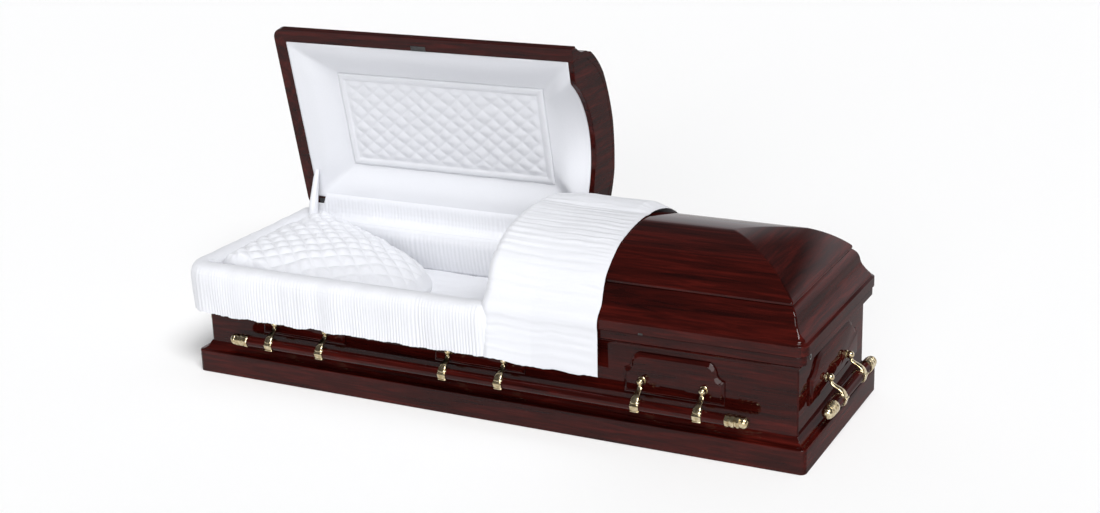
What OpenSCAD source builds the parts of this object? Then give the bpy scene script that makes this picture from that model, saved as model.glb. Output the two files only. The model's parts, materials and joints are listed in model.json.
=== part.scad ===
// Half-couch wooden funeral casket. Millimetres, +Z up, +X towards the foot end, -Y is the front.
// The origin is the centre of the base underside. The head lid is drawn open, the foot lid closed.

/* [Base moulding] */
// Length over the base moulding
base_l = 2120; // [1800:10:2300]
// Width over the base moulding
base_w = 700; // [620:10:800]
// Height of the base moulding's upright face
base_face_h = 76; // [60:1:100]
// Height of the hollow moulding above that face
base_cove_h = 26; // [18:1:40]
// Rounding of the base moulding's upright corners
base_corner_r = 18; // [8:1:30]
// How far the body stands in from the base moulding
body_inset = 35; // [28:1:45]

/* [Body] */
// Thickness of the side and end boards
wall_t = 20; // [16:1:26]
// Thickness of the bottom board
floor_t = 16; // [12:1:22]
// Height of the body's top rim above the ground
rim_z = 354; // [320:1:400]
// Height of the top rim moulding's upright face
rim_face_h = 26; // [20:1:34]
// How far the top rim moulding stands out from the body
rim_out = 25; // [18:1:30]

/* [Lids] */
// Place of the cut between the head lid and the foot lid, along the length
cut_x = 90; // [-60:5:240]
// Gap between the two lids at the cut
cut_gap = 3; // [2:0.5:6]
// How far the lids stand in from the base moulding
lid_inset = 4; // [2:1:10]
// Height of the lid's upright fascia
fascia_h = 31; // [26:1:40]
// Height of the lid's crown above its underside
crown_h = 240; // [190:5:280]
// Thickness of the lid's panels
lid_t = 18; // [14:1:22]
// Width of the lid's underside rim
lid_rim_w = 46; // [36:1:56]
// Gap left for the skirt's cloth under the closed head lid
cloth_gap = 4.5; // [4:0.5:8]
// Rounding of the lids' upright corners
lid_corner_r = 36; // [12:1:44]
// Rounding of the top rim's upright corners
rim_corner_r = 26; // [8:1:34]
// Angle that the head lid stands open at
open_deg = 78; // [60:1:95]
// Rise of the arched opening in the lids' header boards
arch_rise = 92; // [60:2:120]
// Thickness of the header boards
header_t = 19; // [14:1:24]

/* [Lining] */
// Thickness of the cloth lining on the body's walls
lining_t = 8; // [5:1:14]
// Height of the mattress top above the ground
bed_z = 230; // [180:5:260]
// Length of the pillow
pillow_l = 600; // [400:10:640]
// Height of the skirt's hem above the ground
hem_z = 222; // [220:1:260]
// Thickness of the hanging skirt
skirt_t = 15; // [8:1:18]
// Width of the throw along the casket
throw_w = 328; // [240:4:420]
// Depth of the lids' lining above their underside
liner_depth = 50; // [34:1:60]

/* [Handles] */
// Diameter of the handle bars
bar_d = 34; // [26:1:36]
// Distance from the body to the middle of a bar
bar_out = 56; // [54:1:70]
// Height of the bars above the ground
bar_z = 144; // [138:1:156]
// Height of the handle pivots above the ground
pivot_z = 205; // [198:1:208]
// Distance from the body to the handle pivots
pivot_out = 25; // [23:0.5:27]
// Half the length of the wooden part of the long bars
long_bar_half = 830; // [800:5:900]
// Half the length of the wooden part of the end bars
end_bar_half = 160; // [130:5:200]
// Length of the turned metal tips on the bars
tip_l = 70; // [50:1:80]
// Distance from the middle to the outermost arms on the long sides
outer_arm_x = 745; // [700:5:780]
// Spacing of the two arms on one plaque
arm_spacing = 195; // [160:5:220]
// Radial clearance on the hinge and handle pins
pin_play = 0.05; // [0.02:0.01:0.1]

/* [Hidden] */
$fn = 64;

WOOD = "#4a1210";
DARK_WOOD = "#34100d";
BRASS = "#b79a58";
CLOTH = "#f2f3f8";
BLACK = "#151515";

// Running gap between parts that move, and between cloth and what it lies on.
gap = 0.3;
base_x = base_l / 2;
base_y = base_w / 2;
body_x = base_x - body_inset;
body_y = base_y - body_inset;
in_x = body_x - wall_t;
in_y = body_y - wall_t;
base_h = base_face_h + base_cove_h;
// The base's inner ledge, which the body's boards and the bottom board stand on.
ledge_w = 30;
ledge_z = 40;
ledge_t = 16;
base_board_t = 24;
plinth_in_x = in_x - ledge_w;
plinth_in_y = in_y - ledge_w;
rim_cove_h = 28;
rim_x = body_x + rim_out;
rim_y = body_y + rim_out;
lid_x = base_x - lid_inset;
lid_y = base_y - lid_inset;
// Underside of the closed foot lid.
seam_z = rim_z + gap;
wall_top = rim_z - rim_face_h;

// Hinge axis of both lids.
hinge_y = lid_y + 14;
hinge_z = seam_z + 14.5;
knuckle_r = 8;
knuckle_l = 22;
hinge_pin_r = 3.5;
leaf_t = 2.5;
head_hinges = [-860, -120];
foot_hinges = [300, 860];

// Points of an arc in an outline, from angle a to angle b.
function arc(cx, cy, r, a, b, n) = [for (i = [0:n]) [cx + r * cos(a + (b - a) * i / n), cy + r * sin(a + (b - a) * i / n)]];

// Points of a shallow arc from p to q that rises by "rise" at its middle, to the left of the way it runs.
function bow(p, q, rise, n) =
    let (d = [q[0] - p[0], q[1] - p[1]])
    [for (i = [0:n]) let (t = i / n, h = 4 * rise * t * (1 - t) / norm(d))
        [p[0] + d[0] * t - d[1] * h, p[1] + d[1] * t + d[0] * h]];

// A constant section in the Y-Z plane that runs along X.
module along_x(points, x0, x1) {
    translate([x0, 0, 0]) rotate([90, 0, 90]) linear_extrude(x1 - x0) polygon(points);
}

// A constant section in the X-Z plane that runs along Y.
module along_y(points, y0, y1) {
    translate([0, y1, 0]) rotate([90, 0, 0]) linear_extrude(y1 - y0) polygon(points);
}

module block(x0, x1, y0, y1, z0, z1) {
    translate([x0, y0, z0]) cube([x1 - x0, y1 - y0, z1 - z0]);
}

// Both halves of a symmetric outline: [inset from the outer face, height] becomes [place, height].
function both_sides(half, reach) = concat(
    [for (p = half) [p[0] - reach, p[1]]],
    [for (i = [len(half) - 1:-1:0]) [reach - half[i][0], half[i][1]]]
);

// A ring moulding with square mitres: the half section [inset, height] goes round a rectangle.
module mitred_block(half, reach_x, reach_y) {
    intersection() {
        along_x(both_sides(half, reach_y), -reach_x, reach_x);
        along_y(both_sides(half, reach_x), -reach_y, reach_y);
    }
}

// ---- Body ----

plinth_half = concat(
    [[0, 0], [0, base_face_h - 3], [3, base_face_h], [7, base_face_h]],
    arc(7, base_h - 3, base_cove_h - 3, -90, -18, 8),
    [[body_inset, base_h]]
);

module base_plinth() {
    color(DARK_WOOD) difference() {
        intersection() {
            mitred_block(plinth_half, base_x, base_y);
            linear_extrude(base_h) rounded_plan(base_x, base_y, base_corner_r);
        }
        block(-plinth_in_x, plinth_in_x, -plinth_in_y, plinth_in_y, -1, base_h + 1);
        block(base_board_t - base_x, base_x - base_board_t, base_board_t - base_y, base_y - base_board_t, -1, ledge_z - ledge_t);
        block(-body_x, body_x, -body_y, body_y, ledge_z, base_h + 1);
    }
}

// A rectangle with round corners, drawn with true arcs.
module rounded_plan(half_x, half_y, r) {
    square([2 * half_x - 2 * r, 2 * half_y], center = true);
    square([2 * half_x, 2 * half_y - 2 * r], center = true);
    for (x = [-1, 1], y = [-1, 1]) translate([x * (half_x - r), y * (half_y - r)]) circle(r);
}

module floor_board() {
    color(DARK_WOOD) block(-in_x, in_x, -in_y, in_y, ledge_z, ledge_z + floor_t);
}

module front_wall() {
    color(WOOD) block(-body_x, body_x, -body_y, -in_y, ledge_z, wall_top);
}

module back_wall() {
    color(WOOD) block(-body_x, body_x, in_y, body_y, ledge_z, wall_top);
}

module head_wall() {
    color(WOOD) block(-body_x, -in_x, -in_y, in_y, ledge_z, wall_top);
}

module foot_wall() {
    color(WOOD) block(in_x, body_x, -in_y, in_y, ledge_z, wall_top);
}

// Rim section: a cove under an upright face with eased corners.
rim_half = concat(
    [[rim_out, wall_top - rim_cove_h]],
    arc(0, wall_top - rim_cove_h, rim_out, 0, 90, 8),
    [[0, wall_top], [0, rim_z - 3], [3, rim_z], [rim_out + wall_t, rim_z]]
);
key_y = -290;
key_z = rim_z - 13;
key_r = 5;

module top_rim() {
    color(WOOD) difference() {
        intersection() {
            mitred_block(rim_half, rim_x, rim_y);
            linear_extrude(rim_z + 1) rounded_plan(rim_x, rim_y, rim_corner_r);
        }
        block(-in_x, in_x, -in_y, in_y, wall_top - rim_cove_h - 1, rim_z + 1);
        block(-body_x, body_x, -body_y, body_y, wall_top - rim_cove_h - 1, wall_top);
        translate([rim_x - 16, key_y, key_z]) rotate([0, 90, 0]) cylinder(r = key_r, h = 20);
    }
}

module key_escutcheon() {
    color(BLACK) translate([rim_x, key_y, key_z]) rotate([0, 90, 0]) difference() {
        cylinder(r = 9, h = 1.6);
        translate([0, 0, -1]) cylinder(r = key_r, h = 4);
    }
}

// ---- Plaques and handles. Each is drawn for a wall on the plane Y = 0 that faces -Y. ----

plaque_t = 12;
plaque_bottom = 160;
side_plaque = [158, 108, 290];
end_plaque = [225, 130, 299];

// Half of a plaque's outline: its upper corner is an ogee between the full width and the top edge.
function plaque_half(size, grow) =
    let (w = size[0] + grow, t = size[1] + grow * 0.6, top = size[2] + grow, m = (w + t) / 2, drop = 54)
    concat(
        [[0, plaque_bottom - grow], [w, plaque_bottom - grow]],
        bow([w, top - drop], [m, top - drop / 2], 6, 6),
        bow([m, top - drop / 2], [t, top], -6, 6)
    );

module plaque(size) {
    bevel = 5;
    for (layer = [[0, 0, plaque_t - bevel], [-3, plaque_t - bevel, plaque_t - 2], [-7, plaque_t - 2, plaque_t]]) {
        half = plaque_half(size, layer[0]);
        outline = concat(half, [for (i = [len(half) - 1:-1:1]) [-half[i][0], half[i][1]]]);
        translate([0, -layer[1], 0]) rotate([90, 0, 0]) linear_extrude(layer[2] - layer[1]) polygon(outline);
    }
}

// Puts a part drawn for a wall that faces -Y on the front, back, head or foot wall.
module on_wall(side, along = 0) {
    turn = side == "front" ? 0 : side == "foot" ? 90 : side == "back" ? 180 : -90;
    out = side == "front" || side == "back" ? body_y : body_x;
    rotate([0, 0, turn]) translate([along, -out, 0]) children();
}

inner_arm_x = outer_arm_x - arm_spacing;
half_spacing = arm_spacing / 2;
LONG_ARMS = [-outer_arm_x, -inner_arm_x, -half_spacing, half_spacing, inner_arm_x, outer_arm_x];
END_ARMS = [-half_spacing, half_spacing];
plaque_x = (outer_arm_x + inner_arm_x) / 2;

module front_plaque_head() { color(WOOD) on_wall("front", -plaque_x) plaque(side_plaque); }
module front_plaque_centre() { color(WOOD) on_wall("front") plaque(side_plaque); }
module front_plaque_foot() { color(WOOD) on_wall("front", plaque_x) plaque(side_plaque); }
module back_plaque_head() { color(WOOD) on_wall("back", plaque_x) plaque(side_plaque); }
module back_plaque_centre() { color(WOOD) on_wall("back") plaque(side_plaque); }
module back_plaque_foot() { color(WOOD) on_wall("back", -plaque_x) plaque(side_plaque); }
module head_plaque() { color(WOOD) on_wall("head") plaque(end_plaque); }
module foot_plaque() { color(WOOD) on_wall("foot") plaque(end_plaque); }

lug_pin_r = 4;
lug_plate_t = 4;
cheek_t = 5;
eye_w = 10;
eye_r = 8;
clasp_wall = 5;
clasp_w = 27;

// A lug: a round plate on the plaque, two cheeks and the pin through them.
module lug() {
    plate_d = 2 * cheek_t + eye_w + 2 * gap + 5;
    translate([0, -plaque_t, pivot_z]) rotate([90, 0, 0]) cylinder(d = plate_d, h = lug_plate_t);
    for (side = [-1, 1]) {
        inner = side * (eye_w / 2 + gap);
        outer = side * (eye_w / 2 + gap + cheek_t);
        translate([0, -pivot_out, pivot_z]) {
            translate([min(inner, outer), 0, 0]) rotate([0, 90, 0]) cylinder(r = eye_r, h = cheek_t);
            translate([min(inner, outer), 0, -eye_r]) cube([cheek_t, pivot_out - plaque_t, 2 * eye_r]);
        }
    }
    pin_half = eye_w / 2 + gap + cheek_t + 1.5;
    translate([-pin_half, -pivot_out, pivot_z]) rotate([0, 90, 0]) cylinder(r = lug_pin_r, h = 2 * pin_half);
}

// An arm: an eye on the lug's pin, a stem that swells as it curves out, and a clasp round the bar.
module arm() {
    stem = concat(
        bow([-pivot_out - 5, pivot_z + 5], [-bar_out - 8, bar_z + bar_d / 2], 7, 6),
        bow([-bar_out + bar_d / 2, bar_z + 9], [-pivot_out + 5, pivot_z - 4], 4, 6)
    );
    difference() {
        union() {
            translate([-eye_w / 2, -pivot_out, pivot_z]) rotate([0, 90, 0]) cylinder(r = eye_r, h = eye_w);
            intersection() {
                translate([-clasp_w / 2, 0, 0]) rotate([90, 0, 90]) linear_extrude(clasp_w) polygon(stem);
                rotate([90, 0, 0]) linear_extrude(bar_out + bar_d) polygon([
                    [-eye_w / 2, pivot_z + 9], [-eye_w / 2, pivot_z - 10], [-clasp_w / 2, bar_z + 12],
                    [-clasp_w / 2, bar_z - 4], [clasp_w / 2, bar_z - 4], [clasp_w / 2, bar_z + 12],
                    [eye_w / 2, pivot_z - 10], [eye_w / 2, pivot_z + 9]
                ]);
            }
            translate([-clasp_w / 2, -bar_out, bar_z]) rotate([0, 90, 0]) cylinder(d = bar_d + 2 * clasp_wall, h = clasp_w);
        }
        translate([-clasp_w, -bar_out, bar_z]) rotate([0, 90, 0]) cylinder(d = bar_d, h = 2 * clasp_w);
        translate([-eye_w, -pivot_out, pivot_z]) rotate([0, 90, 0]) cylinder(r = lug_pin_r + pin_play, h = 2 * eye_w);
    }
}

module bar(half) {
    translate([-half, -bar_out, bar_z]) rotate([0, 90, 0]) cylinder(d = bar_d, h = 2 * half);
}

// A turned tip on the bar's end: ribs, a neck and a rounded knob. It points along +X.
module tip(half) {
    r = bar_d / 2;
    profile = concat(
        [[0, 0], [r, 0], [r + 3, 2], [r + 3, 9], [r, 11], [r, 14], [r + 3, 17], [r + 3, 24], [r - 1, 27], [r - 1, 33]],
        arc(r - 8, tip_l - 24, 12, -70, 80, 8),
        [[8, tip_l - 10]],
        arc(0, tip_l - 8, 8, 0, 90, 6)
    );
    translate([half, -bar_out, bar_z]) rotate([0, 90, 0]) rotate_extrude() polygon(profile);
}

module lugs(side, places) {
    color(BRASS) for (x = places) on_wall(side, x) lug();
}

module arms(side, places) {
    color(BRASS) for (x = places) on_wall(side, x) arm();
}

module front_lugs() { lugs("front", LONG_ARMS); }
module back_lugs() { lugs("back", LONG_ARMS); }
module head_lugs() { lugs("head", END_ARMS); }
module foot_lugs() { lugs("foot", END_ARMS); }
module front_arms() { arms("front", LONG_ARMS); }
module back_arms() { arms("back", LONG_ARMS); }
module head_arms() { arms("head", END_ARMS); }
module foot_arms() { arms("foot", END_ARMS); }
module front_bar() { color(WOOD) on_wall("front") bar(long_bar_half); }
module back_bar() { color(WOOD) on_wall("back") bar(long_bar_half); }
module head_bar() { color(WOOD) on_wall("head") bar(end_bar_half); }
module foot_bar() { color(WOOD) on_wall("foot") bar(end_bar_half); }

// Tips: "low" is the end towards the wall's own -X before it is turned.
module tip_on(side, half, low) {
    color(BRASS) on_wall(side) mirror([low ? 1 : 0, 0, 0]) tip(half);
}

module front_tip_head() { tip_on("front", long_bar_half, true); }
module front_tip_foot() { tip_on("front", long_bar_half, false); }
module back_tip_head() { tip_on("back", long_bar_half, false); }
module back_tip_foot() { tip_on("back", long_bar_half, true); }
module head_tip_front() { tip_on("head", end_bar_half, false); }
module head_tip_back() { tip_on("head", end_bar_half, true); }
module foot_tip_front() { tip_on("foot", end_bar_half, true); }
module foot_tip_back() { tip_on("foot", end_bar_half, false); }

// ---- Lids. Both are drawn closed, and the head lid is then swung open. ----

// Outer half section of a lid above its underside, as [inset, height].
step_s = 66;
step_h = 127;
lid_half = concat(
    [[0, fascia_h], [10, fascia_h + 4], [12, fascia_h + 9]],
    bow([14, fascia_h + 11], [43, 95], -6, 6),
    bow([43, 95], [step_s, step_h], 4, 4),
    [[step_s - 4, step_h + 1], [step_s - 4, step_h + 8]],
    bow([step_s - 2, step_h + 11], [168, crown_h - 30], 6, 8),
    bow([168, crown_h - 30], [lid_y, crown_h], 6, 8)
);

// Inner half section of the lid's hollow.
hollow_half = [
    [lid_rim_w, -1], [lid_rim_w, fascia_h], [step_s + lid_t * 0.4, step_h - 22], [step_s + lid_t * 1.6, step_h],
    [130, crown_h - 78], [175, crown_h - lid_t - 31], [240, crown_h - lid_t - 9], [lid_y, crown_h - lid_t]
];

// A lid's outer or inner block, closed by a hip at the foot end and cut square at "cut".
module hipped(half, cut, low) {
    cross = concat([[half[0][0] - lid_y, low]], both_sides(half, lid_y), [[lid_y - half[0][0], low]]);
    long = concat([[cut, low], [cut, crown_h]], [for (i = [len(half) - 1:-1:0]) [lid_x - half[i][0], half[i][1]]],
        [[lid_x - half[0][0], low]]);
    intersection() {
        along_x(cross, cut, lid_x);
        along_y(long, -lid_y, lid_y);
    }
}

// The shell of the lid whose hip is at +X, with its cut at "cut" and its underside at height "low".
module lid_shell(cut, low) {
    translate([0, 0, seam_z]) difference() {
        intersection() {
            hipped(lid_half, cut, low);
            linear_extrude(crown_h + 1) rounded_plan(lid_x, lid_y, lid_corner_r);
        }
        hipped(hollow_half, cut - 1, -1);
    }
}

// The arched opening in the header boards: half its width, and the radius of its arc.
arch_half = lid_y - 118;
arch_r = (arch_half * arch_half + arch_rise * arch_rise) / (2 * arch_rise);

// Arched board that closes a lid's hollow at the cut.
module header(cut) {
    translate([0, 0, seam_z]) difference() {
        intersection() {
            hipped(hollow_half, cut, cloth_gap);
            block(cut, cut + header_t, -lid_y, lid_y, 0, crown_h);
        }
        translate([cut - 1, 0, arch_rise - arch_r]) rotate([0, 90, 0]) cylinder(r = arch_r, h = header_t + 2, $fn = 96);
    }
}

lid_cut = cut_x + cut_gap / 2;
head_cut = -cut_x + cut_gap / 2;
rim_in_x = lid_x - lid_rim_w - gap;
rim_in_y = lid_y - lid_rim_w - gap;
panel_border_x = 155;
panel_border_y = 125;
panel_border_cut = 130;
liner_t = 12;
panel_t = 16;

// Height of the header board's arch above the underside, at a distance y from the middle.
function arch_z(y) = abs(y) < arch_half ? sqrt(arch_r * arch_r - y * y) + arch_rise - arch_r : 0;

// The lid's padded cove: three slopes from the underside rim up to the flat panel, open in the middle,
// and a fourth that leaves the panel for the header board's arched edge.
module liner(cut, low) {
    x0 = cut + header_t + gap;
    flat_x0 = x0 + panel_border_cut;
    flat_x1 = rim_in_x - panel_border_x;
    flat_y = rim_in_y - panel_border_y;
    edge = 6;
    strips = 8;
    translate([0, 0, seam_z]) {
        for (side = [-1, 1]) hull() {
            y_rim = side * rim_in_y;
            y_flat = side * flat_y;
            block(x0, rim_in_x, min(y_rim, y_rim - side * edge), max(y_rim, y_rim - side * edge), low, low + liner_t);
            block(flat_x0, flat_x1 + edge, min(y_flat, y_flat + side * edge), max(y_flat, y_flat + side * edge),
                liner_depth, liner_depth + liner_t);
        }
        hull() {
            block(rim_in_x - edge, rim_in_x, -rim_in_y, rim_in_y, low, low + liner_t);
            block(flat_x1, flat_x1 + edge, -flat_y, flat_y, liner_depth, liner_depth + liner_t);
        }
        for (i = [0:strips - 1]) hull() {
            for (j = [i, i + 1]) {
                t = 2 * j / strips - 1;
                z = max(low, arch_z(t * rim_in_y));
                y_edge = t * (rim_in_y - 0.5);
                y_in = t * flat_y;
                block(x0, x0 + 2, y_edge - 0.5, y_edge + 0.5, z, z + liner_t);
                block(flat_x0 - 4, flat_x0, y_in - 0.5, y_in + 0.5, liner_depth, liner_depth + liner_t);
            }
        }
    }
}

module liner_panel(cut) {
    flat_x0 = cut + header_t + gap + panel_border_cut;
    flat_x1 = rim_in_x - panel_border_x;
    flat_y = rim_in_y - panel_border_y;
    block(flat_x0 + gap, flat_x1 - gap, -flat_y + gap, flat_y - gap, seam_z + liner_depth - 2, seam_z + liner_depth + panel_t);
}

// Swings what is drawn closed to the head lid's open place.
module opened() {
    translate([0, hinge_y, hinge_z]) rotate([-open_deg, 0, 0]) translate([0, -hinge_y, -hinge_z]) children();
}

module head_side() { mirror([1, 0, 0]) children(); }

module head_lid() { color(DARK_WOOD) opened() head_side() lid_shell(head_cut, cloth_gap); }
module foot_lid() { color(DARK_WOOD) lid_shell(lid_cut, 0); }
module head_header() { color(DARK_WOOD) opened() head_side() header(head_cut); }
module foot_header() { color(DARK_WOOD) header(lid_cut); }
module head_lid_lining() { color(CLOTH) opened() head_side() liner(head_cut, cloth_gap + 1); }
module foot_lid_lining() { color(CLOTH) liner(lid_cut, 1); }
module head_lid_panel() { color(CLOTH) opened() head_side() liner_panel(head_cut); }
module foot_lid_panel() { color(CLOTH) liner_panel(lid_cut); }

// ---- Hinges ----

module knuckle(x, l) {
    translate([x - l / 2, hinge_y, hinge_z]) rotate([0, 90, 0]) cylinder(r = knuckle_r, h = l);
}

// Fixed part of one hinge: a leaf on the rim, two outer knuckles and the pin.
module body_leaf(x) {
    reach = rim_y + leaf_t;
    half = knuckle_l * 1.5 + gap;
    web = [
        [rim_y, rim_z - 22], [reach, rim_z - 22], [reach, rim_z - 16], [hinge_y + 5, hinge_z - 7],
        [hinge_y - 7, hinge_z], [lid_y + 1.5, seam_z], [reach, rim_z - 5], [rim_y, rim_z - 5]
    ];
    for (side = [-1, 1]) {
        middle = x + side * (knuckle_l + gap);
        knuckle(middle, knuckle_l);
        along_x(web, middle - knuckle_l / 2, middle + knuckle_l / 2);
    }
    block(x - half, x + half, rim_y, reach, rim_z - 22, rim_z - 12);
    translate([x - half, hinge_y, hinge_z]) rotate([0, 90, 0]) cylinder(r = hinge_pin_r, h = 2 * half);
}

module body_hinge_leaves() {
    color(BRASS) for (x = concat(head_hinges, foot_hinges)) body_leaf(x);
}

// Moving part of one hinge: a leaf on the lid's fascia and the middle knuckle.
module lid_leaf(x) {
    difference() {
        union() {
            knuckle(x, knuckle_l - gap);
            block(x - knuckle_l / 2 + gap / 2, x + knuckle_l / 2 - gap / 2, lid_y, hinge_y, hinge_z - 4, hinge_z + 4);
            block(x - knuckle_l, x + knuckle_l, lid_y, lid_y + leaf_t, hinge_z - 4, seam_z + fascia_h - 2);
        }
        translate([x - knuckle_l, hinge_y, hinge_z]) rotate([0, 90, 0]) cylinder(r = hinge_pin_r + pin_play, h = 2 * knuckle_l);
    }
}

module head_lid_hinges() { color(BRASS) opened() for (x = head_hinges) lid_leaf(x); }
module foot_lid_hinges() { color(BRASS) for (x = foot_hinges) lid_leaf(x); }

// ---- Fittings ----

strike_x = -480;
strike_t = 1.2;
latch_x = 555;

module head_lid_strike() {
    under = seam_z + cloth_gap;
    color(BLACK) opened() block(strike_x - 28, strike_x + 28, -rim_in_y - 18, -rim_in_y - 1, under - strike_t, under);
}

module foot_lid_latch() {
    color(BLACK) block(latch_x - 7, latch_x + 7, -lid_y - 1.2, -lid_y, seam_z + 0.5, seam_z + 6);
}

// ---- Soft parts ----

bed_in = lining_t + 1;

module mattress() {
    color(CLOTH) block(-in_x + bed_in, in_x - bed_in, -in_y + bed_in, in_y - bed_in, ledge_z + floor_t, bed_z);
}

// Cloth on the inside of the walls, from the mattress up to the rim.
module body_lining() {
    color(CLOTH) difference() {
        block(-in_x + gap, in_x - gap, -in_y + gap, in_y - gap, ledge_z + floor_t + gap, rim_z - 1);
        block(-in_x + lining_t, in_x - lining_t, -in_y + lining_t, in_y - lining_t, 0, rim_z + 1);
    }
}

// A wedge pillow that fills the head end and falls away towards the middle. Its foot edge is a wide curve.
pillow_curve = 235;

module pillow() {
    x0 = -in_x + lining_t + 11;
    half_w = in_y - lining_t - 6;
    section = concat(
        [[x0, bed_z + gap], [x0, rim_z - 14]],
        bow([x0 + 8, rim_z - 6], [x0 + 150, rim_z + 30], 5, 5),
        bow([x0 + 150, rim_z + 30], [x0 + pillow_l, bed_z + 30], 26, 8),
        [[x0 + pillow_l, bed_z + gap]]
    );
    cross = concat(
        [[-half_w, bed_z], [-half_w, rim_z - 14]],
        bow([-half_w + 8, rim_z - 6], [half_w - 8, rim_z - 6], 46, 10),
        [[half_w, rim_z - 14], [half_w, bed_z]]
    );
    foot_edge = [for (i = [-8:8]) [x0 + pillow_l - pillow_curve * pow(abs(i / 8), 2.3), half_w * i / 8]];
    color(CLOTH) intersection() {
        along_y(section, -half_w, half_w);
        along_x(cross, x0 - 1, x0 + pillow_l + 1);
        linear_extrude(rim_z + 100) polygon(concat([[x0 - 1, half_w], [x0 - 1, -half_w]], foot_edge));
    }
}

// Skirt over the rim at the front and the head end: a thin fold on the rim and a drop outside it.
skirt_fold_t = 3;
skirt_in = 2;

module skirt() {
    top = rim_z + gap + skirt_fold_t;
    x_end = cut_x - 8;
    drop_y = rim_y + 2;
    drop_x = rim_x + 2;
    inner_y = in_y - skirt_in;
    inner_x = in_x - skirt_in;
    color(CLOTH) difference() {
        block(-drop_x - skirt_t, x_end, -drop_y - skirt_t, rim_y - 60, hem_z, top);
        block(-drop_x, x_end + 1, -drop_y, rim_y, hem_z - 1, rim_z + gap);
        block(-inner_x, x_end + 1, -inner_y, rim_y, rim_z, top + 1);
    }
}

// Cloth sleeve over the lid's support arm, from inside the body's rim up to the open head lid's lining.
sleeve_t = 8;

module stay_sleeve() {
    x0 = -in_x + lining_t + gap;
    side = [[232, rim_z - 26], [258, rim_z - 26], [319, rim_z + 166], [300, rim_z + 174]];
    color(CLOTH) along_x(side, x0, x0 + sleeve_t);
}

// Cloth that hides the hinges: it rises from the body's back rim to the open head lid's rim.
module hinge_apron() {
    inner = rim_y - 40;
    side = [
        [inner, rim_z + 0.6], [inner + 22, rim_z + 1.2], [rim_y - 2, rim_z + 26], [rim_y - 3.4, rim_z + 70],
        [rim_y - 5.4, rim_z + 70], [rim_y - 4.2, rim_z + 27], [inner + 20, rim_z + 3.4], [inner, rim_z + 2.6]
    ];
    color(CLOTH) along_x(side, -in_x + 50, cut_x - 6);
}

// Plate that carries the support arm's upper end, on the underside of the lid's back rim.
module stay_bracket() {
    x = -rim_in_x + 6;
    under = seam_z + cloth_gap;
    color(BLACK) opened() block(x, x + 40, rim_in_y + 6, rim_in_y + 36, under - 3, under);
}

// Throw over the cut end of the foot lid: it follows the lid's section and hangs down the front.
throw_gap = 0.6;
throw_t = 7;
throw_back = 270;

// The cloth spans the undercut below the lid's step.
cover_half = [for (p = lid_half) if (p[1] < step_h - 8 || p[1] > step_h + 2) p];

module throw_block(grow, x0, x1) {
    raised = [for (p = cover_half) [p[0] - grow, p[1] + grow]];
    cross = concat([[-grow - lid_y, -1]], both_sides(raised, lid_y), [[lid_y + grow, -1]]);
    translate([0, 0, seam_z]) along_x(cross, x0, x1);
}

module throw() {
    x1 = lid_cut + throw_w;
    drop_in = lid_y + throw_gap;
    color(CLOTH) union() {
        difference() {
            throw_block(throw_gap + throw_t, lid_cut, x1);
            throw_block(throw_gap, lid_cut - 1, x1 + 1);
            block(lid_cut - 1, x1 + 1, throw_back, lid_y + 50, 0, seam_z + crown_h + 50);
            block(lid_cut - 1, x1 + 1, -lid_y - 50, lid_y, 0, seam_z + 2);
        }
        block(lid_cut, x1, -drop_in - throw_t - 6, -drop_in, hem_z, seam_z + fascia_h - 2);
    }
}

base_plinth();
floor_board();
front_wall();
back_wall();
head_wall();
foot_wall();
top_rim();
front_plaque_head();
front_plaque_centre();
front_plaque_foot();
back_plaque_head();
back_plaque_centre();
back_plaque_foot();
head_plaque();
foot_plaque();
front_lugs();
back_lugs();
head_lugs();
foot_lugs();
front_arms();
front_bar();
front_tip_head();
front_tip_foot();
back_arms();
back_bar();
back_tip_head();
back_tip_foot();
head_arms();
head_bar();
head_tip_front();
head_tip_back();
foot_arms();
foot_bar();
foot_tip_front();
foot_tip_back();
key_escutcheon();
body_hinge_leaves();
mattress();
pillow();
body_lining();
skirt();
hinge_apron();
stay_sleeve();
head_lid();
head_header();
head_lid_lining();
head_lid_panel();
head_lid_hinges();
head_lid_strike();
stay_bracket();
foot_lid();
foot_header();
foot_lid_lining();
foot_lid_panel();
foot_lid_hinges();
foot_lid_latch();
throw();
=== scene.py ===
import json
import math
import bpy
import bmesh
import numpy as np
from mathutils import Matrix, Vector, noise


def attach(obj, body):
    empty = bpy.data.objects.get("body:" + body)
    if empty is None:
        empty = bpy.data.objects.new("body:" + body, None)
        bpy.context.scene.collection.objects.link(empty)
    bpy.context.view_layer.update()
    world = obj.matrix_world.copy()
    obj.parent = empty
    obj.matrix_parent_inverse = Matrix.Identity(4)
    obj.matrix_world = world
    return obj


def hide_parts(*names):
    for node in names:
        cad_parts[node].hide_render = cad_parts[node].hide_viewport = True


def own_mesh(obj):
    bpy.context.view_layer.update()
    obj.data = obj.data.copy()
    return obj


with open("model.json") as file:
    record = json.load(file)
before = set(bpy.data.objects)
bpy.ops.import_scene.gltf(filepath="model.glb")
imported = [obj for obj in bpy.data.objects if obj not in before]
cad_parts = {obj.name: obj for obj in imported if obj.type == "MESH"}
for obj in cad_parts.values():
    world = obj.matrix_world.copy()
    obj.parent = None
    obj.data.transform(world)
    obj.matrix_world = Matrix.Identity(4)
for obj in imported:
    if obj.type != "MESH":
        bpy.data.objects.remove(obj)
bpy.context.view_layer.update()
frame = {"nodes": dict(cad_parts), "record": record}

# Sizes of the casket in metres. The origin is under the middle of the base, +X is the foot end, -Y the front.
# Half lengths, half widths and corner radii of the base, the body, the rim and the lids.
BASE_X, BASE_Y, BASE_R = 1.060, 0.350, 0.018
BODY_X, BODY_Y, BODY_R, WALL = 1.025, 0.315, 0.009, 0.020
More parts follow.
